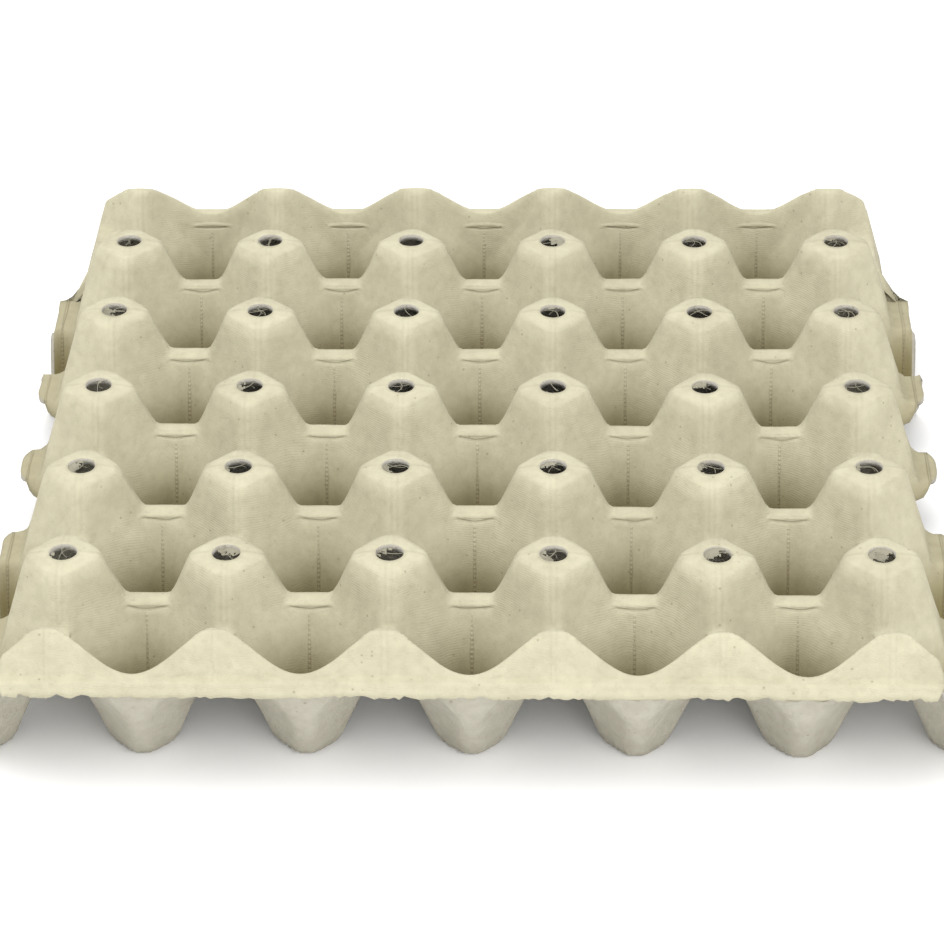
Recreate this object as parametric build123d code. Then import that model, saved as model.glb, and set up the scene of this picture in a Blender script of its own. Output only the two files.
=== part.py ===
from build123d import *
import os
from math import cos, pi, radians, sin, sqrt, tan

# Moulded pulp tray for thirty eggs: five cups across (X) and six cups deep (Y).
# One sheet of pulp of even thickness, open below. Origin at the middle of the
# footprint on the floor, +Z up, front edge towards -Y. All sizes in millimetres.

# Overall sizes
tray_width = 294.0
tray_depth = 292.0
tray_height = 50.0
sheet = 2.0
corner_cut = 14.6

# Grid of cups and posts
cups_across = 5
cups_deep = 6
side_margin = 3.0
end_margin = 2.0
pitch_across = (tray_width - 2 * side_margin) / (cups_across + 1)
pitch_deep = (tray_depth - 2 * end_margin) / cups_deep
fit = min(pitch_across, pitch_deep) / 48.0

# Levels of the top surface above the floor
saddle_level = tray_height - 16.0
rim_level = tray_height - 12.7
tab_level = tray_height * 0.4

# Cup: diamonds with rounded corners, each corner made of round_steps flats;
# "tip" is the reach towards the saddles and "flat" the reach towards the posts
cup_mouth_tip = 21.0 * fit
cup_mouth_flat = 19.7 * fit
cup_waist_level = saddle_level * 9.0 / 17.0
cup_waist_tip = 14.2 * fit
cup_waist_flat = 11.0 * fit
cup_heel_level = 4.6
cup_heel_tip = 8.1 * fit
cup_heel_flat = 7.4 * fit
cup_floor_tip = 5.4 * fit
cup_floor_flat = 5.2 * fit
cup_draft = 24.0
round_steps = 4

# Post: diamonds with cut corners that rise from the saddle level
post_foot_tip = 17.2 * fit
post_foot_flat = 13.7 * fit
post_head_level = tray_height - 1.3
post_head_tip = 10.9 * fit
post_head_flat = 9.2 * fit
post_top_tip = 8.4 * fit
post_top_flat = 7.0 * fit
post_draft = 17.0
vent_diameter = 8.0 * fit

# Front and back rims
rim_width = 5.0
rim_web_inset = 8.0
rim_face_top_level = tray_height - 5.7
rim_face_lean = 2.0
rim_crown_run = 3.0
rim_crown_level = tray_height - 1.0

# Left and right sides
side_lean = 0.295
side_head_reach = post_head_tip
tab_nose = 7.0
tab_half_length = 9.0
end_tab_half_length = 12.0

clear = 20.0
root2 = sqrt(2.0)


def side_column():
    """X of the outermost row of posts."""
    return pitch_across * cups_across / 2.0


def last_tab_row():
    """Y of the outermost row of whole posts, the last with a tab beside it."""
    return pitch_deep * (cups_deep / 2.0 - 1.0)


def spread(count, pitch):
    """Positions of a row of evenly pitched features centred on zero."""
    return [pitch * (i - (count - 1) / 2.0) for i in range(count)]


def grid(across, deep):
    """Centres of a block of features that share the tray's two pitches."""
    return [(x, y) for x in spread(across, pitch_across) for y in spread(deep, pitch_deep)]


def ring(level, points):
    """Corners of a closed outline at one level, from a quarter and its three turns."""
    turns = [points]
    for _ in range(3):
        turns.append([(-y, x) for x, y in turns[-1]])
    return [(x, y, level) for quarter in turns for x, y in quarter]


def diamond(flat, tip, level):
    """A square turned onto its corner, each corner cut off square at tip."""
    half = root2 * flat - tip
    return ring(level, [(tip, -half), (tip, half)])


def round_diamond(flat, tip, level):
    """A square turned onto its corner, each corner rounded off to end at tip."""
    radius = (root2 * flat - tip) / (root2 - 1.0)
    angles = [radians(90.0 * i / round_steps - 45.0) for i in range(round_steps + 1)]
    return ring(level, [(tip - radius + radius * cos(a), radius * sin(a)) for a in angles])


def stack(rings):
    """The solid through outlines that lie one above another with parallel sides."""
    faces = [Face(Wire.make_polygon(rings[0])), Face(Wire.make_polygon(rings[-1]))]
    for low, high in zip(rings, rings[1:]):
        for i in range(len(low)):
            corners = [low[i - 1], low[i], high[i], high[i - 1]]
            faces.append(Face(Wire.make_polygon(corners)))
    return Solid(Shell(faces))


def between(low, high, share):
    return low + (high - low) * share


def cup_space():
    """The air inside one cup, from its floor to well above the tray."""
    return stack(
        [
            round_diamond(cup_floor_flat, cup_floor_tip, sheet),
            round_diamond(cup_heel_flat, cup_heel_tip, cup_heel_level),
            round_diamond(cup_waist_flat, cup_waist_tip, cup_waist_level),
            round_diamond(cup_mouth_flat, cup_mouth_tip, saddle_level),
            round_diamond(cup_mouth_flat, cup_mouth_tip, saddle_level + clear),
        ]
    )


def cup_skin(whole):
    """The same cup measured over its outside; only its upper part if not whole."""
    grow = sheet / cos(radians(cup_draft))
    heel = cup_heel_level - sheet + sheet * tan(radians(cup_draft))
    stages = [
        round_diamond(cup_waist_flat + grow, cup_waist_tip + grow, cup_waist_level),
        round_diamond(cup_mouth_flat + grow, cup_mouth_tip + grow, saddle_level),
        round_diamond(cup_mouth_flat + grow, cup_mouth_tip + grow, saddle_level + clear),
    ]
    if whole:
        foot = round_diamond(cup_floor_flat + sheet / 2, cup_floor_tip + sheet / 2, 0.0)
        lower = round_diamond(cup_heel_flat + sheet * 0.8, cup_heel_tip + sheet * 0.8, heel)
        stages = [foot, lower] + stages
    return stack(stages)


def post_skin():
    """The outside of one post, run down into the sheet below it."""
    rise = post_head_level - saddle_level
    share = -4.0 / rise
    foot_flat = between(post_foot_flat, post_head_flat, share)
    foot_tip = between(post_foot_tip, post_head_tip, share)
    return stack(
        [
            diamond(foot_flat, foot_tip, saddle_level - 4.0),
            diamond(post_head_flat, post_head_tip, post_head_level),
            diamond(post_top_flat, post_top_tip, tray_height),
        ]
    )


def post_space():
    """The hollow under one post, run down below the sheet around it."""
    rise = post_head_level - saddle_level
    shrink = sheet / cos(radians(post_draft))
    low_share = -6.0 / rise
    head_share = (rise - sheet) / rise
    foot_flat = between(post_foot_flat, post_head_flat, low_share) - shrink
    foot_tip = between(post_foot_tip, post_head_tip, low_share) - shrink
    head_flat = between(post_foot_flat, post_head_flat, head_share) - shrink
    head_tip = between(post_foot_tip, post_head_tip, head_share) - shrink
    return stack(
        [
            diamond(foot_flat, foot_tip, saddle_level - 6.0),
            diamond(head_flat, head_tip, post_head_level - sheet),
            diamond(post_top_flat - sheet / 2, post_top_tip - sheet / 2, tray_height - sheet),
        ]
    )


def side_profile(inset, floor):
    """Width of the tray at each level: leaning sides that stand on the tabs."""
    drop = sheet if inset else 0.0
    reach = side_column() + side_head_reach - inset
    tab_z = tab_level - drop
    foot = reach + side_lean * (tray_height - tab_z)
    head = reach - side_lean * clear
    tab = tray_width / 2 + (clear if inset else 0.0)
    right = [
        (tab, floor),
        (tab, tab_z),
        (foot, tab_z),
        (head, tray_height + clear),
    ]
    left = [(-x, z) for x, z in reversed(right)]
    face = make_face(Polyline(*right, *left, close=True))
    return extrude(Plane.XZ * face, tray_depth, both=True)


def end_profile(inset, floor):
    """Depth of the tray at each level: flat rims, steep faces, sloping crowns."""
    drop = sheet if inset else 0.0
    rim_z = rim_level - drop
    wall = tray_depth / 2 - rim_width - inset
    shoulder = wall - rim_face_lean
    shoulder_z = rim_face_top_level - drop * 0.6
    crown = shoulder - rim_crown_run
    crown_z = rim_crown_level - drop * 0.9
    slope = (crown_z - shoulder_z) / rim_crown_run
    far = crown - clear / slope
    edge = tray_depth / 2 + (clear if inset else 0.0)
    back = [
        (edge, floor),
        (edge, rim_z),
        (wall, rim_z),
        (shoulder, shoulder_z),
        (crown, crown_z),
        (far, crown_z + clear),
    ]
    front = [(-y, z) for y, z in reversed(back)]
    face = make_face(Polyline(*back, *front, close=True))
    return extrude(Plane.YZ * face, tray_width, both=True)


def scallop(inset):
    """Top edge of a rim: up over each half post, down at each cup."""
    rise = rim_crown_level - rim_level
    count = 8 * (cups_across + 1)
    far = side_column() + pitch_across / 2.0
    points = []
    for i in range(count + 1):
        x = far * (2.0 * i / count - 1.0)
        share = (1.0 + cos(2 * pi * (x - side_column()) / pitch_across)) / 2.0
        points.append((x, rim_level - 1.2 * inset + rise * share))
    return points


def rim_bars(inset, floor):
    """Scalloped strips along the front and back that carry the rims."""
    inner = tray_depth / 2 - rim_web_inset + inset
    outer = tray_depth / 2 + (clear if inset else 0.0)
    half = tray_width / 2 + clear
    top = rim_level - 1.2 * inset
    edge = [(-half, floor), (-half, top)] + scallop(inset) + [(half, top), (half, floor)]
    face = make_face(Polyline(*edge, close=True))
    bar = extrude(Plane.XZ * face, (outer - inner) / 2, both=True)
    return put(bar, [(0, way * (inner + outer) / 2) for way in (1, -1)])


def slab(top, floor, margin):
    block = Box(tray_width + 2 * margin, tray_depth + 2 * margin, top - floor)
    return Pos(0, 0, (top + floor) / 2) * block


def post_places():
    """Thirty whole posts and the half posts of the front and back rims."""
    return grid(cups_across + 1, cups_deep + 1)


def cup_places():
    """Thirty whole cups."""
    return grid(cups_across, cups_deep)


def side_places(low, high):
    """Half cups at the left and right edges, by distance from the middle row."""
    across = side_column() + pitch_across / 2.0
    places = []
    for y in spread(cups_deep, pitch_deep):
        if low < abs(y) < high:
            places.append((across, y))
            places.append((-across, y))
    return places


def front_corner_places():
    """Half cups at the two ends of the front row."""
    across = side_column() + pitch_across / 2.0
    front = spread(cups_deep, pitch_deep)[0]
    return [(across, front), (-across, front)]


def put(shape, places):
    return [Pos(x, y, 0) * shape for x, y in places]


def tab_edge(x_sign, y_sign):
    """Cut that rounds the tabs beside one finger opening."""
    across = side_column() + pitch_across / 2.0
    mid = y_sign * pitch_deep / 2.0
    neck = pitch_deep / 2.0 - tab_half_length
    nose = neck + tab_nose
    edge = tray_width / 2
    lines = []
    for way in (1, -1):
        start = (across - neck / 2, way * neck / 2)
        bend = (across, way * neck)
        turn = (between(across, edge, 0.75), way * between(neck, nose, 0.42))
        end = (edge, way * nose)
        lines.append(Line((across - neck / 2, 0), start))
        lines.append(Line(start, bend))
        lines.append(ThreePointArc(bend, turn, end))
        lines.append(Line(end, (edge + clear, way * nose)))
        lines.append(Line((edge + clear, way * nose), (edge + clear, 0)))
    face = make_face(lines)
    cutter = Pos(0, mid, -clear) * extrude(face, tray_height + 2 * clear)
    if x_sign < 0:
        cutter = mirror(cutter, about=Plane.YZ)
    return cutter


def outline():
    """Footprint with its four corners cut off and no tab beside the back row."""
    plan = Rectangle(tray_width, tray_depth)
    plan = chamfer(plan.vertices(), corner_cut)
    foot = side_column() + side_head_reach + side_lean * (tray_height - tab_level)
    start = last_tab_row() + end_tab_half_length
    for x_sign in (1, -1):
        place = Pos(x_sign * (foot + clear / 2), start + clear, 0)
        plan = plan - place * Rectangle(clear, 2 * clear)
    return Pos(0, 0, -clear) * extrude(plan, tray_height + 2 * clear)


def under_top():
    """Everything below the top surface of the sheet."""
    floor = -1.0
    body = slab(saddle_level, floor, 0.0) + rim_bars(0.0, floor)
    body = body + put(post_skin(), post_places())
    body = body & side_profile(0.0, floor)
    body = body & end_profile(0.0, floor)
    spaces = cup_places() + side_places(0.0, last_tab_row()) + front_corner_places()
    return body - put(cup_space(), spaces)


def under_sheet():
    """Everything below the bottom surface of the sheet."""
    floor = -clear
    body = slab(saddle_level - sheet, floor, clear) + rim_bars(sheet, floor)
    body = body + put(post_space(), post_places())
    body = body & side_profile(sheet, floor)
    body = body & end_profile(sheet, floor)
    deep = cup_places() + side_places(pitch_deep, last_tab_row()) + front_corner_places()
    body = body - put(cup_skin(True), deep)
    short = cup_skin(False) & Pos(0, 0, tab_level - sheet) * Box(
        4 * pitch_across, 4 * pitch_deep, 4 * clear, align=(Align.CENTER, Align.CENTER, Align.MIN)
    )
    return body - put(short, side_places(0.0, pitch_deep))


def vents():
    """Round holes in the tops of the thirty whole posts."""
    drill = Pos(0, 0, tray_height - clear / 2) * Cylinder(vent_diameter / 2, clear + 4.0)
    return put(drill, grid(cups_across + 1, cups_deep - 1))


def tray():
    body = under_top() - under_sheet()
    body = body - vents()
    body = body & outline()
    for x_sign in (1, -1):
        for y_sign in (1, -1):
            body = body - tab_edge(x_sign, y_sign)
    return body


os.makedirs("parts", exist_ok=True)
part = tray()
export_step(part, "parts/tray.step")
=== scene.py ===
import math

import bpy
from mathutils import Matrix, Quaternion, Vector


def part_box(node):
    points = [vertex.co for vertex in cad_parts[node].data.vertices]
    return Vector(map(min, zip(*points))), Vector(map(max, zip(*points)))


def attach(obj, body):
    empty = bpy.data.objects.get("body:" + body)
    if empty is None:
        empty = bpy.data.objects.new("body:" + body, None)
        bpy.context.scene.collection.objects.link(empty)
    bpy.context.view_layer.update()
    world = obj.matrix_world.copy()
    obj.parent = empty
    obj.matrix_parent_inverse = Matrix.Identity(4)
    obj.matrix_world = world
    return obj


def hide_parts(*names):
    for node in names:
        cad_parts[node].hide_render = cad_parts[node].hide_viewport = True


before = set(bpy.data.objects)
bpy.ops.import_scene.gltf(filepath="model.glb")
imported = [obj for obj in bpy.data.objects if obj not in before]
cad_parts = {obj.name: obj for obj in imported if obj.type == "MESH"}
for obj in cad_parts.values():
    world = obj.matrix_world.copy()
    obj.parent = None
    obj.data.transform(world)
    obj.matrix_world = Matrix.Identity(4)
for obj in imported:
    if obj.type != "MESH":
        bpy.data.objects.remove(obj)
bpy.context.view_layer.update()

# Grid of cups and posts, in metres. The sheet's levels are heights of its top
# surface above the floor.
MM = 0.001
PITCH = 48.0 * MM
CUPS_ACROSS = 5
CUPS_DEEP = 6
CELLS_PER_PITCH = 34
SIDE_CELLS = 19
RIM_CELLS = 32
SHEET = 2.0 * MM
RIM_WIDTH = 5.0 * MM
END_TAB_HALF_LENGTH = 12.0 * MM
FOOT_REACH = 19.7 * MM

low_corner, high_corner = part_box("tray")
WIDTH = high_corner[0] - low_corner[0]
DEPTH = high_corner[1] - low_corner[1]
HEIGHT = high_corner[2] - low_corner[2]

SADDLE_LEVEL = 33.8 * MM
CROWN_RISE = 11.7 * MM
RIM_LEVEL = 37.3 * MM
TAB_LEVEL = 20.0 * MM
VENT_RADIUS = 4.0 * MM
CORNER_CUT = 14.6 * MM


class Recipe:
    """Writes arithmetic into a node tree, one Math node for each step."""

    def __init__(self, tree):
        self.tree = tree

    def node(self, kind, **settings):
        made = self.tree.nodes.new(kind)
        for name, value in settings.items():
            setattr(made, name, value)
        return made

    def feed(self, socket, value):
        if isinstance(value, bpy.types.NodeSocket):
            self.tree.links.new(value, socket)
        else:
            socket.default_value = value

    def math(self, operation, *values):
        made = self.node("ShaderNodeMath", operation=operation)
        for socket, value in zip(made.inputs, values):
            self.feed(socket, value)
        return made.outputs[0]

    def add(self, a, b):
        return self.math("ADD", a, b)

    def sub(self, a, b):
        return self.math("SUBTRACT", a, b)

    def mul(self, a, b):
        return self.math("MULTIPLY", a, b)

    def div(self, a, b):
        return self.math("DIVIDE", a, b)

    def size(self, a):
        return self.math("ABSOLUTE", a)

    def larger(self, a, b):
        return self.math("MAXIMUM", a, b)

    def smaller(self, a, b):
        return self.math("MINIMUM", a, b)

    def soft_larger(self, a, b, softness):
        return self.math("SMOOTH_MAX", a, b, softness)

    def soft_smaller(self, a, b, softness):
        return self.math("SMOOTH_MIN", a, b, softness)

    def slope(self, level, fall, start, distance):
        """A straight slope: level at start, falling by fall for each unit of distance."""
        return self.add(level, self.mul(fall, self.sub(start, distance)))

    def fade(self, value, start, end):
        """1 before start, 0 after end, smooth between them."""
        made = self.node("ShaderNodeMapRange", interpolation_type="SMOOTHSTEP")
        self.feed(made.inputs["Value"], value)
        self.feed(made.inputs["From Min"], start)
        self.feed(made.inputs["From Max"], end)
        made.inputs["To Min"].default_value = 1.0
        made.inputs["To Max"].default_value = 0.0
        return made.outputs["Result"]

    def split(self, vector):
        made = self.node("ShaderNodeSeparateXYZ")
        self.feed(made.inputs[0], vector)
        return made.outputs

    def join(self, x, y, z):
        made = self.node("ShaderNodeCombineXYZ")
        for socket, value in zip(made.inputs, (x, y, z)):
            self.feed(socket, value)
        return made.outputs[0]

    def noise(self, vector, scale, detail, seed):
        made = self.node("ShaderNodeTexNoise", noise_dimensions="4D")
        self.feed(made.inputs["Vector"], vector)
        self.feed(made.inputs["W"], seed)
        made.inputs["Scale"].default_value = scale
        made.inputs["Detail"].default_value = detail
        return made.outputs


def from_post(r, x, y, pitch):
    """Offsets from the nearest post; posts stand half a pitch off centre across the tray."""
    half = r.div(pitch, 2.0)
    back = r.mul(half, -1.0)
    return r.math("WRAP", r.sub(x, half), half, back), r.math("WRAP", y, half, back)


def from_cup(r, x, y, pitch):
    half = r.div(pitch, 2.0)
    back = r.mul(half, -1.0)
    return r.math("WRAP", x, half, back), r.math("WRAP", r.sub(y, half), half, back)


def sheet_inputs(tree):
    """Named sizes of the moulded sheet."""
    values = {
        "Width": WIDTH,
        "Depth": DEPTH,
        "Height": HEIGHT,
        "Pitch": PITCH,
        "Thickness": SHEET,
        "Saddle level": SADDLE_LEVEL,
        "Rim level": RIM_LEVEL,
        "Tab level": TAB_LEVEL,
        "Vent radius": VENT_RADIUS,
        "Corner cut": CORNER_CUT,
        "Rim width": RIM_WIDTH,
        "Crown rise": CROWN_RISE,
        "Unevenness": 1.0,
        "Seed": 4.0,
    }
    made = {}
    for name, value in values.items():
        socket = tree.interface.new_socket(name, in_out="INPUT", socket_type="NodeSocketFloat")
        socket.default_value = value
        made[name] = (socket.identifier, value)
    return made


def rim_edge(r, given, x):
    """Level of a rim's scalloped edge, and its distance from the tray's middle."""
    half_depth = r.div(given["Depth"], 2.0)
    wall = r.sub(half_depth, given["Rim width"])
    column = r.mul(given["Pitch"], CUPS_ACROSS / 2.0)
    turn = r.mul(r.div(r.sub(r.size(x), column), given["Pitch"]), 2.0 * math.pi)
    swell = r.mul(r.add(r.math("COSINE", turn), 1.0), 0.5)
    rise = r.mul(swell, given["Crown rise"])
    above = r.larger(r.sub(rise, 7.0 * MM), 0.0)
    meet = r.sub(r.sub(wall, r.mul(rise, 0.286)), r.mul(above, 0.352))
    return r.add(given["Rim level"], rise), meet, wall


def footprint(r, given, x, y):
    """Moves the outermost rows and columns of the mesh onto the trimmed outline,
    which has no tab beside the back row."""
    column = r.mul(given["Pitch"], CUPS_ACROSS / 2.0)
    row = r.mul(given["Pitch"], (CUPS_DEEP - 1) / 2.0)
    half_width = r.div(given["Width"], 2.0)
    half_depth = r.div(given["Depth"], 2.0)

    ay = r.size(y)
    past_row = r.larger(r.sub(ay, row), 0.0)
    rim_reach = r.mul(given["Pitch"], RIM_CELLS / CELLS_PER_PITCH)
    depth_share = r.div(r.sub(half_depth, row), rim_reach)
    y_size = r.add(r.smaller(ay, row), r.mul(past_row, depth_share))
    _, meet, wall = rim_edge(r, given, x)
    follow = r.mul(r.fade(y_size, r.sub(wall, 7.0 * MM), wall), -1.0)
    follow = r.smaller(r.add(follow, 1.0), r.fade(y_size, wall, half_depth))
    lean = r.smaller(r.sub(wall, meet), 2.6 * MM)
    y_size = r.sub(y_size, r.mul(lean, follow))
    fray = r.noise(r.join(x, 0.0, r.math("SIGN", y)), 150.0, 4.0, given["Seed"])["Fac"]
    last = r.fade(y_size, half_depth, r.sub(half_depth, 1.4 * MM))
    y_size = r.sub(y_size, r.mul(last, r.mul(r.size(r.sub(fray, 0.5)), 5.0 * MM)))

    wander = r.noise(r.join(0.0, y, 0.0), 60.0, 2.0, given["Seed"])["Fac"]
    ragged = r.mul(r.sub(wander, 0.5), 2.0 * MM)
    corner = r.sub(r.sub(r.add(half_width, half_depth), given["Corner cut"]), y_size)
    half_pitch = r.div(given["Pitch"], 2.0)
    from_gap = r.size(r.sub(y_size, half_pitch))
    gap_root = r.sub(r.add(column, half_pitch), 15.0 * MM)
    gap_edge = r.add(gap_root, from_gap)
    edge = r.soft_smaller(r.sub(half_width, 0.3 * MM), gap_edge, 5.0 * MM)
    edge = r.add(r.soft_smaller(edge, corner, 2.0 * MM), ragged)
    past_tabs = r.math("GREATER_THAN", y, r.add(r.mul(given["Pitch"], 2.0), END_TAB_HALF_LENGTH))
    foot = r.add(column, FOOT_REACH)
    edge = r.add(r.mul(r.smaller(edge, foot), past_tabs), r.mul(edge, r.sub(1.0, past_tabs)))

    ax = r.size(x)
    past_column = r.larger(r.sub(ax, column), 0.0)
    side_reach = r.mul(given["Pitch"], SIDE_CELLS / CELLS_PER_PITCH)
    width_share = r.div(r.sub(edge, column), side_reach)
    x_size = r.add(r.smaller(ax, column), r.mul(past_column, width_share))
    return r.mul(x_size, r.math("SIGN", x)), r.mul(y_size, r.math("SIGN", y))


def ring_posts(r, given, x, y):
    """Turns the square rings of mesh round each whole post into circles at its
    vent and into the outline of its head further out."""
    dx, dy = from_post(r, x, y, given["Pitch"])
    adx, ady = r.size(dx), r.size(dy)
    ring = r.larger(r.larger(adx, ady), 1e-6)
    true = r.larger(r.math("SQRT", r.add(r.mul(dx, dx), r.mul(dy, dy))), 1e-6)
    circle = r.div(ring, true)
    head_ring = 7.0 * PITCH / CELLS_PER_PITCH
    outline = r.larger(r.div(r.add(adx, ady), 13.0 * MM), r.div(ring, 10.9 * MM))
    head = r.div(r.div(ring, head_ring), outline)
    near = r.fade(ring, given["Vent radius"], 8.0 * MM)
    close = r.fade(ring, 10.0 * MM, 19.0 * MM)
    scale = r.add(r.mul(circle, near), r.mul(head, r.sub(1.0, near)))
    last_row = r.mul(given["Pitch"], (CUPS_DEEP - 1) / 2.0)
    whole = r.math("LESS_THAN", r.size(y), last_row)
    pull = r.mul(r.mul(r.sub(scale, 1.0), close), whole)
    return r.add(x, r.mul(dx, pull)), r.add(y, r.mul(dy, pull))


def cup_and_post_level(r, given, x, y):
    """Height of the repeating cups, posts and saddles."""
    dx, dy = from_post(r, x, y, given["Pitch"])
    ex, ey = from_cup(r, x, y, given["Pitch"])
    adx, ady = r.size(dx), r.size(dy)
    flat_way = r.mul(r.add(adx, ady), math.sqrt(0.5))
    tip_way = r.larger(adx, ady)
    wall_way = r.larger(r.size(ex), r.size(ey))

    radius_squared = r.add(r.mul(adx, adx), r.mul(ady, ady))
    crown = r.sub(given["Height"], r.mul(radius_squared, 11.0))
    post_flank = r.slope(r.sub(given["Height"], 1.3 * MM), 3.27, 9.2 * MM, flat_way)
    upper_flank = r.slope(given["Saddle level"], 1.82, 14.1 * MM, flat_way)
    lower_flank = r.slope(r.sub(given["Saddle level"], 16.0 * MM), 3.75, 23.0 * MM, flat_way)
    cup_flank = r.soft_smaller(upper_flank, lower_flank, 4.0 * MM)
    flank = r.soft_larger(post_flank, cup_flank, 3.0 * MM)
    flank = r.soft_smaller(crown, flank, 1.2 * MM)
    floor = given["Thickness"]
    flank = r.soft_larger(flank, floor, 4.0 * MM)

    ridge = r.slope(r.sub(given["Height"], 1.3 * MM), 2.35, 10.9 * MM, tip_way)
    ridge = r.soft_smaller(crown, ridge, 1.2 * MM)
    past_ridge = r.larger(r.sub(r.div(given["Pitch"], 2.0), tip_way), 0.0)
    sag = r.mul(r.mul(past_ridge, past_ridge), 12.0)
    saddle = r.add(r.sub(given["Saddle level"], 0.3 * MM), r.smaller(sag, 1.2 * MM))
    ridge = r.soft_larger(ridge, saddle, 6.0 * MM)

    wall = r.slope(given["Saddle level"], -2.35, 21.2 * MM, wall_way)
    wall = r.soft_smaller(given["Saddle level"], wall, 1.6 * MM)
    wall = r.soft_larger(wall, floor, 4.0 * MM)

    level = r.soft_smaller(flank, ridge, 0.5 * MM)
    return r.soft_larger(level, wall, 1.2 * MM)


def rimmed_level(r, given, x, y, level):
    """Cuts the half posts to their faces and lays the scalloped rims and the side tabs."""
    ax, ay = r.size(x), r.size(y)
    edge, meet, wall = rim_edge(r, given, x)
    face = r.slope(given["Rim level"], 3.5, wall, ay)
    face = r.soft_larger(face, given["Rim level"], 1.2 * MM)
    crown = r.slope(r.sub(given["Height"], 1.0 * MM), 1.57, r.sub(wall, 5.0 * MM), ay)
    face = r.soft_smaller(face, crown, 1.6 * MM)
    level = r.soft_smaller(level, face, 0.8 * MM)
    lip = r.slope(edge, -4.0, r.sub(meet, 1.3 * MM), ay)
    lip = r.soft_smaller(lip, r.add(edge, 0.2 * MM), 0.8 * MM)
    lip = r.soft_smaller(lip, face, 0.8 * MM)
    level = r.soft_larger(level, lip, 0.8 * MM)

    column = r.mul(given["Pitch"], CUPS_ACROSS / 2.0)
    side = r.slope(given["Height"], 3.39, r.add(column, 10.9 * MM), ax)
    side = r.soft_larger(side, given["Tab level"], 2.0 * MM)
    return r.soft_smaller(level, side, 1.6 * MM)


def sheet_tree():
    """The top surface of the moulded sheet, laid out from its named sizes."""
    tree = bpy.data.node_groups.new("moulded sheet", "GeometryNodeTree")
    tree.interface.new_socket("Geometry", in_out="OUTPUT", socket_type="NodeSocketGeometry")
    made = sheet_inputs(tree)
    r = Recipe(tree)
    entry = r.node("NodeGroupInput")
    given = {name: entry.outputs[name] for name in made}

    cells_x = CELLS_PER_PITCH * CUPS_ACROSS + 2 * SIDE_CELLS
    cells_y = CELLS_PER_PITCH * (CUPS_DEEP - 1) + 2 * RIM_CELLS
    grid = r.node("GeometryNodeMeshGrid")
    r.feed(grid.inputs["Size X"], r.mul(given["Pitch"], cells_x / CELLS_PER_PITCH))
    r.feed(grid.inputs["Size Y"], r.mul(given["Pitch"], cells_y / CELLS_PER_PITCH))
    grid.inputs["Vertices X"].default_value = cells_x + 1
    grid.inputs["Vertices Y"].default_value = cells_y + 1

    place = r.node("GeometryNodeInputPosition").outputs[0]
    x, y, _ = r.split(place)
    x, y = footprint(r, given, x, y)
    x, y = ring_posts(r, given, x, y)
    spread = r.node("GeometryNodeSetPosition")
    r.feed(spread.inputs["Geometry"], grid.outputs["Mesh"])
    r.feed(spread.inputs["Position"], r.join(x, y, 0.0))

    vented = cut_vents(r, given, spread.outputs[0])

    x, y, _ = r.split(place)
    sway = r.noise(place, 9.0, 1.0, given["Seed"])["Color"]
    sway_x, sway_y, sway_z = r.split(sway)
    loose = r.mul(given["Unevenness"], 2.4 * MM)
    wx = r.add(x, r.mul(r.sub(sway_x, 0.5), loose))
    wy = r.add(y, r.mul(r.sub(sway_y, 0.5), loose))
    level = cup_and_post_level(r, given, wx, wy)
    past_column = r.math("GREATER_THAN", r.size(x), r.mul(given["Pitch"], CUPS_ACROSS / 2.0))
    past_row = r.math("GREATER_THAN", y, r.mul(given["Pitch"], 2.0))
    shelf = r.mul(given["Saddle level"], r.mul(past_column, past_row))
    level = r.soft_larger(level, shelf, 0.6 * MM)
    level = rimmed_level(r, given, x, y, level)
    trim = r.fade(r.size(y), r.div(given["Depth"], 2.0), r.sub(r.div(given["Depth"], 2.0), 2.6 * MM))
    torn = r.noise(r.join(x, 0.0, r.math("SIGN", y)), 95.0, 4.0, given["Seed"])["Fac"]
    level = r.sub(level, r.mul(trim, r.mul(r.sub(torn, 0.25), 2.4 * MM)))
    lumps = r.noise(place, 110.0, 3.0, given["Seed"])["Fac"]
    level = r.add(level, r.mul(r.sub(lumps, 0.5), r.mul(given["Unevenness"], 0.5 * MM)))
    level = r.add(level, r.mul(r.sub(sway_z, 0.5), r.mul(given["Unevenness"], 1.6 * MM)))
    raised = r.node("GeometryNodeSetPosition")
    r.feed(raised.inputs["Geometry"], vented)
    r.feed(raised.inputs["Position"], r.join(x, y, level))

    smooth = r.node("GeometryNodeSetShadeSmooth")
    r.feed(smooth.inputs["Geometry"], raised.outputs[0])
    real = r.node("GeometryNodeRealizeInstances")
    r.feed(real.inputs[0], smooth.outputs[0])
    coat = r.node("GeometryNodeSetMaterial")
    r.feed(coat.inputs["Geometry"], real.outputs[0])
    coat.inputs["Material"].default_value = pulp_top
    leave = r.node("NodeGroupOutput")
    r.feed(leave.inputs[0], coat.outputs[0])
    return tree, made


def cut_vents(r, given, geometry):
    """Takes away the mesh inside each vent."""
    x, y, _ = r.split(r.node("GeometryNodeInputPosition").outputs[0])
    dx, dy = from_post(r, x, y, given["Pitch"])
    distance = r.math("SQRT", r.add(r.mul(dx, dx), r.mul(dy, dy)))
    inside = r.math("LESS_THAN", distance, given["Vent radius"])
    last_row = r.mul(given["Pitch"], (CUPS_DEEP - 1) / 2.0)
    whole = r.math("LESS_THAN", r.size(y), last_row)
    cut = r.node("GeometryNodeDeleteGeometry", domain="FACE")
    r.feed(cut.inputs["Geometry"], geometry)
    r.feed(cut.inputs["Selection"], r.mul(inside, whole))
    return cut.outputs[0]


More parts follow.
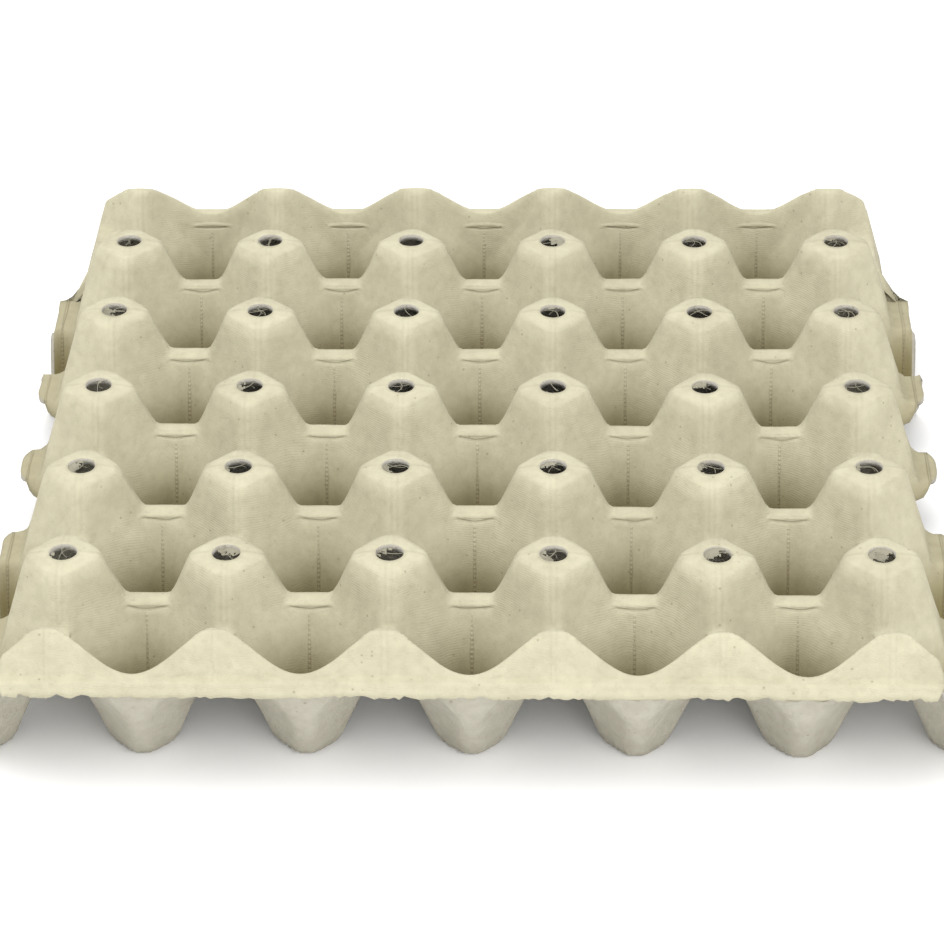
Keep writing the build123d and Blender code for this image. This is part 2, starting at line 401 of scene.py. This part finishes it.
def plain(obj):
    """Turns a piece and its modifiers into a plain mesh."""
    bpy.context.view_layer.update()
    shown = obj.evaluated_get(bpy.context.evaluated_depsgraph_get())
    mesh = bpy.data.meshes.new_from_object(shown)
    obj.modifiers.clear()
    obj.data = mesh
    return obj


def plain_material(name, colour):
    material = bpy.data.materials.new(name)
    material.use_nodes = True
    shader = material.node_tree.nodes["Principled BSDF"]
    shader.inputs["Base Color"].default_value = (*colour, 1.0)
    shader.inputs["Roughness"].default_value = 0.9
    shader.inputs["Specular IOR Level"].default_value = 0.2
    return material


def effect(name, inputs, outputs):
    """An empty shader group with named sockets and a recipe to fill it."""
    tree = bpy.data.node_groups.new(name, "ShaderNodeTree")
    for label, kind, value in inputs:
        socket = tree.interface.new_socket(label, in_out="INPUT", socket_type=kind)
        if value is not None:
            socket.default_value = value
    for label, kind in outputs:
        tree.interface.new_socket(label, in_out="OUTPUT", socket_type=kind)
    r = Recipe(tree)
    return tree, r, r.node("NodeGroupInput").outputs, r.node("NodeGroupOutput").inputs


def pulp_grain():
    """Fine fibrous roughness, slow mottling and scattered dark specks."""
    tree, r, given, give = effect(
        "pulp grain",
        [("Place", "NodeSocketVector", None), ("Speck share", "NodeSocketFloat", 0.14)],
        [("Height", "NodeSocketFloat"), ("Mottle", "NodeSocketFloat"), ("Speck", "NodeSocketFloat")],
    )
    place = given["Place"]
    fine = r.noise(place, 1500.0, 3.0, 1.0)["Fac"]
    clots = r.noise(place, 420.0, 2.0, 2.0)["Fac"]
    r.feed(give["Height"], r.add(r.mul(fine, 0.6), clots))
    slow = r.noise(place, 55.0, 2.0, 3.0)["Fac"]
    patch = r.noise(place, 260.0, 3.0, 4.0)["Fac"]
    r.feed(give["Mottle"], r.add(r.mul(slow, 0.5), r.mul(patch, 0.5)))
    cells = r.node("ShaderNodeTexVoronoi")
    r.feed(cells.inputs["Vector"], place)
    cells.inputs["Scale"].default_value = 360.0
    dot = r.fade(cells.outputs["Distance"], 0.06, 0.2)
    chosen, _, _ = r.split(cells.outputs["Color"])
    r.feed(give["Speck"], r.mul(dot, r.math("LESS_THAN", chosen, given["Speck share"])))
    return tree


def mould_lines():
    """Fine lines left by the wire of the mould, in patches on the steep walls."""
    tree, r, given, give = effect(
        "mould lines",
        [("Place", "NodeSocketVector", None), ("Spacing", "NodeSocketFloat", 0.7 * MM)],
        [("Height", "NodeSocketFloat")],
    )
    x, y, z = r.split(given["Place"])
    bend = r.mul(r.noise(given["Place"], 90.0, 1.0, 5.0)["Fac"], 3.0 * MM)
    along = r.add(r.add(z, r.mul(r.add(x, y), 0.12)), bend)
    wave = r.math("SINE", r.mul(r.div(along, given["Spacing"]), 2.0 * math.pi))
    patch = r.fade(r.noise(given["Place"], 45.0, 1.0, 6.0)["Fac"], 0.42, 0.58)
    r.feed(give["Height"], r.mul(r.mul(r.add(wave, 1.0), 0.5), r.add(0.1, r.mul(patch, 0.9))))
    return tree


def mould_marks():
    """Seams and folds down the cup walls, lips and creases at the saddles, and the
    raised lines along the posts' ridges. The fold line and the crease also carry painted shade."""
    tree, r, given, give = effect(
        "mould marks",
        [
            ("Place", "NodeSocketVector", None),
            ("Pitch", "NodeSocketFloat", PITCH),
            ("Saddle level", "NodeSocketFloat", SADDLE_LEVEL),
        ],
        [
            ("Seam", "NodeSocketFloat"),
            ("Fold shade", "NodeSocketFloat"),
            ("Crease and shadow", "NodeSocketFloat"),
            ("Lip", "NodeSocketFloat"),
            ("Ridge", "NodeSocketFloat"),
        ],
    )
    x, y, z = r.split(given["Place"])
    ex, ey = from_cup(r, x, y, given["Pitch"])
    waver = r.noise(given["Place"], 120.0, 1.0, 7.0)["Fac"]
    across = r.smaller(r.size(ex), r.size(ey))
    shifted = r.size(r.add(across, r.mul(r.sub(waver, 0.5), 0.8 * MM)))
    low = r.fade(z, r.sub(given["Saddle level"], 4.0 * MM), r.sub(given["Saddle level"], 2.0 * MM))
    stitch = r.math("SINE", r.mul(z, 2.0 * math.pi / (1.3 * MM)))
    stitch = r.add(0.65, r.mul(stitch, 0.35))
    r.feed(give["Seam"], r.mul(r.mul(r.fade(shifted, 0.12 * MM, 0.42 * MM), stitch), low))
    # The fold is used only for painted shade: a thin dark line beside the seam, low in the cups.
    low_shade = r.fade(z, 15.0 * MM, 28.0 * MM)
    r.feed(give["Fold shade"], r.mul(r.fade(r.size(r.sub(shifted, 0.3 * MM)), 0.1 * MM, 0.5 * MM), low_shade))
    # The crease under each saddle lip: a dent in the bump, and a painted shadow line in the colour.
    curl = r.mul(r.mul(across, across), 26.0)
    drop = r.sub(r.add(r.sub(given["Saddle level"], z), curl), 2.0 * MM)
    drop = r.size(r.add(drop, r.mul(r.sub(waver, 0.5), 1.2 * MM)))
    line = r.mul(r.fade(drop, 0.1 * MM, 0.6 * MM), r.fade(across, 3.0 * MM, 7.5 * MM))
    r.feed(give["Crease and shadow"], line)
    dx, dy = from_post(r, x, y, given["Pitch"])
    off_ridge = r.smaller(r.size(dx), r.size(dy))
    off_ridge = r.size(r.add(off_ridge, r.mul(r.sub(waver, 0.5), 0.5 * MM)))
    high = r.fade(z, r.add(given["Saddle level"], 3.0 * MM), r.add(given["Saddle level"], 1.0 * MM))
    r.feed(give["Ridge"], r.mul(r.fade(off_ridge, 0.2 * MM, 1.5 * MM), high))
    rise = r.size(r.sub(z, r.sub(given["Saddle level"], 0.6 * MM)))
    r.feed(give["Lip"], r.mul(r.fade(rise, 0.1 * MM, 1.0 * MM), r.fade(across, 5.0 * MM, 8.0 * MM)))
    return tree


def grouped(r, tree, **values):
    made = r.node("ShaderNodeGroup")
    made.node_tree = tree
    for name, value in values.items():
        r.feed(made.inputs[name.replace("_", " ").capitalize()], value)
    return made.outputs


def blend(r, share, first, second):
    made = r.node("ShaderNodeMix", data_type="RGBA")
    r.feed(made.inputs[0], share)
    for socket, colour in zip((made.inputs[6], made.inputs[7]), (first, second)):
        r.feed(socket, colour if isinstance(colour, bpy.types.NodeSocket) else (*colour, 1.0))
    return made.outputs[2]


def pulp_material(name, pale, low_shade, dark, grain_depth, line_depth, mark_depth):
    """Moulded pulp: pale on the high parts, darkened towards the cup floors as painted shade,
    flecked all over.
    """
    material = bpy.data.materials.new(name)
    material.use_nodes = True
    r = Recipe(material.node_tree)
    shader = material.node_tree.nodes["Principled BSDF"]
    place = r.node("ShaderNodeTexCoord").outputs["Object"]
    grain = grouped(r, GRAIN, place=place)

    _, _, z = r.split(place)
    # Painted shade: the colour darkens towards the cup floors, below 32 mm.
    low = r.fade(z, 4.0 * MM, 32.0 * MM)
    colour = blend(r, low, pale, low_shade)
    mottled = r.mul(r.sub(grain["Mottle"], 0.5), 2.4)
    colour = blend(r, r.math("ADD", 0.32, mottled), colour, blend(r, 0.35, colour, dark))
    freckle = r.mul(r.sub(0.8, grain["Height"]), 1.1)
    colour = blend(r, r.larger(freckle, 0.0), colour, blend(r, 0.4, colour, dark))
    colour = blend(r, r.mul(grain["Speck"], 0.45), colour, dark)
    height = r.mul(grain["Height"], grain_depth)
    if mark_depth:
        lines = grouped(r, LINES, place=place)
        marks = grouped(r, MARKS, place=place)
        # Painted shadow: the crease under each saddle lip and the fold line low in the cups are
        # darkened in colour.
        colour = blend(r, r.mul(marks["Crease and shadow"], 0.22), colour, dark)
        colour = blend(r, r.mul(marks["Fold shade"], 0.35), colour, dark)
        height = r.add(height, r.mul(lines["Height"], line_depth))
        height = r.add(height, r.mul(marks["Seam"], 0.6 * mark_depth))
        height = r.add(height, r.mul(marks["Lip"], mark_depth))
        height = r.add(height, r.mul(marks["Ridge"], 0.7 * mark_depth))
        height = r.sub(height, r.mul(marks["Crease and shadow"], 0.8 * mark_depth))
    r.feed(shader.inputs["Base Color"], colour)
    shader.inputs["Roughness"].default_value = 0.92
    shader.inputs["Specular IOR Level"].default_value = 0.15
    bump = r.node("ShaderNodeBump")
    bump.inputs["Strength"].default_value = 1.0
    bump.inputs["Distance"].default_value = 1.0
    r.feed(bump.inputs["Height"], height)
    r.feed(shader.inputs["Normal"], bump.outputs["Normal"])
    return material


def torn_pulp_tree():
    """Torn flaps and loose fibres left in the thirty vents."""
    tree = bpy.data.node_groups.new("torn pulp", "GeometryNodeTree")
    tree.interface.new_socket("Geometry", in_out="OUTPUT", socket_type="NodeSocketGeometry")
    made = {}
    for name, value in {
        "Pitch": PITCH,
        "Level": HEIGHT - 0.9 * MM,
        "Vent radius": VENT_RADIUS + 0.25 * MM,
        "Fibre thickness": 0.13 * MM,
        "Seed": 3.0,
    }.items():
        socket = tree.interface.new_socket(name, in_out="INPUT", socket_type="NodeSocketFloat")
        socket.default_value = value
        made[name] = (socket.identifier, value)
    r = Recipe(tree)
    given = r.node("NodeGroupInput").outputs

    grid = r.node("GeometryNodeMeshGrid")
    r.feed(grid.inputs["Size X"], r.mul(given["Pitch"], float(CUPS_ACROSS)))
    r.feed(grid.inputs["Size Y"], r.mul(given["Pitch"], float(CUPS_DEEP - 2)))
    grid.inputs["Vertices X"].default_value = CUPS_ACROSS + 1
    grid.inputs["Vertices Y"].default_value = CUPS_DEEP - 1
    raised = r.node("GeometryNodeTransform")
    r.feed(raised.inputs["Geometry"], grid.outputs["Mesh"])
    r.feed(raised.inputs["Translation"], r.join(0.0, 0.0, given["Level"]))

    disc = r.node("GeometryNodeMeshGrid")
    across = r.mul(given["Vent radius"], 2.0)
    r.feed(disc.inputs["Size X"], across)
    r.feed(disc.inputs["Size Y"], across)
    disc.inputs["Vertices X"].default_value = 17
    disc.inputs["Vertices Y"].default_value = 17
    flaps = r.node("GeometryNodeInstanceOnPoints")
    r.feed(flaps.inputs["Points"], raised.outputs[0])
    r.feed(flaps.inputs["Instance"], disc.outputs["Mesh"])
    loose_flaps = r.node("GeometryNodeRealizeInstances")
    r.feed(loose_flaps.inputs[0], flaps.outputs[0])
    place = r.node("GeometryNodeInputPosition").outputs[0]
    x, y, z = r.split(place)
    dx, dy = from_post(r, x, y, given["Pitch"])
    radius = r.math("SQRT", r.add(r.mul(dx, dx), r.mul(dy, dy)))
    swing = r.noise(r.join(r.sub(x, dx), r.sub(y, dy), 0.0), 37.0, 0.0, given["Seed"])["Color"]
    way_x, way_y, cover = r.split(swing)
    way_x, way_y = r.sub(way_x, 0.62), r.sub(way_y, 0.5)
    length = r.larger(r.math("SQRT", r.add(r.mul(way_x, way_x), r.mul(way_y, way_y))), 1e-4)
    towards = r.div(r.add(r.mul(dx, way_x), r.mul(dy, way_y)), length)
    tear = r.noise(place, 700.0, 3.0, given["Seed"])["Fac"]
    tear = r.add(r.mul(r.sub(tear, 0.5), 7.0 * MM), r.mul(r.sub(0.68, cover), 10.0 * MM))
    gone = r.math("LESS_THAN", r.sub(towards, tear), 0.4 * MM)
    outside = r.math("GREATER_THAN", radius, given["Vent radius"])
    cut = r.node("GeometryNodeDeleteGeometry", domain="FACE")
    r.feed(cut.inputs["Geometry"], loose_flaps.outputs[0])
    r.feed(cut.inputs["Selection"], r.larger(gone, outside))
    crumple = r.noise(place, 420.0, 2.0, 8.0)["Fac"]
    hang = r.mul(r.sub(given["Vent radius"], radius), -0.35)
    z = r.add(z, r.add(hang, r.mul(r.sub(crumple, 0.6), 1.6 * MM)))
    shaped = r.node("GeometryNodeSetPosition")
    r.feed(shaped.inputs["Geometry"], cut.outputs[0])
    r.feed(shaped.inputs["Position"], r.join(x, y, z))

    line = r.node("GeometryNodeCurveQuadraticBezier")
    line.inputs["Resolution"].default_value = 7
    line.inputs["Start"].default_value = (-4.6 * MM, 0.6 * MM, 0.4 * MM)
    line.inputs["Middle"].default_value = (-1.0 * MM, -2.2 * MM, 1.3 * MM)
    line.inputs["End"].default_value = (3.2 * MM, 1.8 * MM, -0.2 * MM)
    profile = r.node("GeometryNodeCurvePrimitiveCircle")
    profile.inputs["Resolution"].default_value = 4
    r.feed(profile.inputs["Radius"], given["Fibre thickness"])
    strand = r.node("GeometryNodeCurveToMesh")
    r.feed(strand.inputs["Curve"], line.outputs[0])
    r.feed(strand.inputs["Profile Curve"], profile.outputs[0])
    strand.inputs["Fill Caps"].default_value = True
    parts = [shaped.outputs[0]]
    for turn in range(4):
        aim = r.node("FunctionNodeRandomValue", data_type="FLOAT")
        aim.inputs[2].default_value = 0.0
        aim.inputs[3].default_value = 2.0 * math.pi
        aim.inputs["Seed"].default_value = 11 + turn
        tilt = r.node("FunctionNodeRandomValue", data_type="FLOAT")
        tilt.inputs[2].default_value = -0.12
        tilt.inputs[3].default_value = 0.12
        tilt.inputs["Seed"].default_value = 31 + turn
        length = r.node("FunctionNodeRandomValue", data_type="FLOAT")
        length.inputs[2].default_value = 0.45
        length.inputs[3].default_value = 1.0
        length.inputs["Seed"].default_value = 51 + turn
        here = r.node("FunctionNodeRandomValue", data_type="BOOLEAN")
        here.inputs["Probability"].default_value = 0.6
        here.inputs["Seed"].default_value = 71 + turn
        spread = r.node("GeometryNodeInstanceOnPoints")
        r.feed(spread.inputs["Points"], raised.outputs[0])
        r.feed(spread.inputs["Selection"], here.outputs[3])
        r.feed(spread.inputs["Instance"], strand.outputs[0])
        r.feed(spread.inputs["Rotation"], r.join(tilt.outputs[1], 0.0, aim.outputs[1]))
        r.feed(spread.inputs["Scale"], length.outputs[1])
        parts.append(spread.outputs[0])
    joined = r.node("GeometryNodeJoinGeometry")
    for part in parts:
        tree.links.new(part, joined.inputs[0])
    real = r.node("GeometryNodeRealizeInstances")
    r.feed(real.inputs[0], joined.outputs[0])
    coat = r.node("GeometryNodeSetMaterial")
    r.feed(coat.inputs["Geometry"], real.outputs[0])
    coat.inputs["Material"].default_value = pulp_torn
    leave = r.node("NodeGroupOutput")
    r.feed(leave.inputs[0], coat.outputs[0])
    return tree, made


def torn_pulp():
    obj = bpy.data.objects.new("torn_pulp", bpy.data.meshes.new("torn_pulp"))
    bpy.context.scene.collection.objects.link(obj)
    tree, made = torn_pulp_tree()
    shape = obj.modifiers.new("shape", "NODES")
    shape.node_group = tree
    for identifier, value in made.values():
        shape[identifier] = value
    plain(obj)
    print("torn_pulp triangles", sum(len(p.vertices) - 2 for p in obj.data.polygons))
    return obj


def mould_sheet():
    """The whole tray: the moulded top surface, then its thickness below."""
    obj = bpy.data.objects.new("moulded_sheet", bpy.data.meshes.new("moulded_sheet"))
    bpy.context.scene.collection.objects.link(obj)
    tree, made = sheet_tree()
    shape = obj.modifiers.new("shape", "NODES")
    shape.node_group = tree
    for identifier, value in made.values():
        shape[identifier] = value
    # The sheet brings the top's material; the wall's two follow it in this order.
    plain(obj)
    for material in (pulp_back, pulp_edge):
        obj.data.materials.append(material)
    wall = obj.modifiers.new("wall", "SOLIDIFY")
    wall.thickness = SHEET
    wall.offset = -1.0
    wall.use_even_offset = True
    wall.material_offset = 1
    wall.material_offset_rim = 2
    plain(obj)
    print("moulded_sheet triangles", sum(len(p.vertices) - 2 for p in obj.data.polygons))
    return obj


def light(name, size, power, place, aim):
    data = bpy.data.lights.new(name, "AREA")
    data.shape = "DISK"
    data.size = size
    data.energy = power
    lamp = bpy.data.objects.new(name, data)
    bpy.context.scene.collection.objects.link(lamp)
    lamp.location = place
    lamp.rotation_euler = (Vector(aim) - Vector(place)).to_track_quat("-Z", "Y").to_euler()
    return lamp


def studio():
    floor_mesh = bpy.data.meshes.new("studio_floor")
    reach = 6.0
    corners = [(-reach, -reach, 0), (reach, -reach, 0), (reach, reach, 0), (-reach, reach, 0)]
    floor_mesh.from_pydata(corners, [], [(0, 1, 2, 3)])
    floor = bpy.data.objects.new("studio_floor", floor_mesh)
    bpy.context.scene.collection.objects.link(floor)
    floor_mesh.materials.append(plain_material("pale floor", (0.93, 0.93, 0.93)))
    light("soft_overhead", 1.8, 16.0, (-0.35, 0.0, 1.3), (0, 0, 0))
    light("front_fill", 1.6, 16.0, (0.5, -1.4, 0.9), (0, 0, 0))
    world = bpy.data.worlds.new("studio air")
    bpy.context.scene.world = world
    world.use_nodes = True
    world.node_tree.nodes["Background"].inputs["Color"].default_value = (1, 1, 1, 1)
    world.node_tree.nodes["Background"].inputs["Strength"].default_value = 0.9
    bpy.context.scene.view_settings.view_transform = "Standard"


def camera():
    data = bpy.data.cameras.new("camera")
    data.sensor_width = 36.0
    data.lens = 132.7
    data.clip_end = 20.0
    eye = bpy.data.objects.new("camera", data)
    bpy.context.scene.collection.objects.link(eye)
    elevation, yaw, roll = math.radians(32.14), math.radians(-1.35), math.radians(0.59)
    level = math.cos(elevation)
    forward = Vector((math.sin(yaw) * level, math.cos(yaw) * level, -math.sin(elevation)))
    target = Vector((-0.00067, -0.05186, HEIGHT))
    eye.location = target - forward * 1.0563
    turn = forward.to_track_quat("-Z", "Y")
    eye.rotation_mode = "QUATERNION"
    eye.rotation_quaternion = Quaternion(forward, roll) @ turn
    bpy.context.scene.camera = eye


GRAIN = pulp_grain()
LINES = mould_lines()
MARKS = mould_marks()
PALE = (0.49, 0.46, 0.335)
# Painted shade colour that the cup floors take on.
CUP_FLOOR_SHADE = (0.21, 0.178, 0.08)
# Dark for flecks, specks and mottling, and for painted shade in the creases and folds.
FLECK_AND_SHADE_DARK = (0.17, 0.14, 0.085)
pulp_top = pulp_material("moulded pulp", PALE, CUP_FLOOR_SHADE, FLECK_AND_SHADE_DARK, 0.12 * MM, 0.03 * MM, 0.35 * MM)
# The underside and torn edge also darken slightly low down: painted shade.
BACK_PALE, BACK_LOW_SHADE = (0.46, 0.44, 0.37), (0.42, 0.40, 0.33)
EDGE_PALE, EDGE_LOW_SHADE = (0.43, 0.41, 0.36), (0.38, 0.36, 0.30)
LOOSE = (0.30, 0.285, 0.22)
pulp_back = pulp_material("rough pulp underside", BACK_PALE, BACK_LOW_SHADE, FLECK_AND_SHADE_DARK, 0.5 * MM, 0.0, 0.0)
pulp_edge = pulp_material("torn pulp edge", EDGE_PALE, EDGE_LOW_SHADE, FLECK_AND_SHADE_DARK, 0.6 * MM, 0.0, 0.0)
pulp_torn = pulp_material("loose torn fibres", LOOSE, LOOSE, FLECK_AND_SHADE_DARK, 0.3 * MM, 0.0, 0.0)
tray = mould_sheet()
torn = torn_pulp()
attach(tray, "root")
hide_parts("tray")
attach(torn, "root")
studio()
camera()
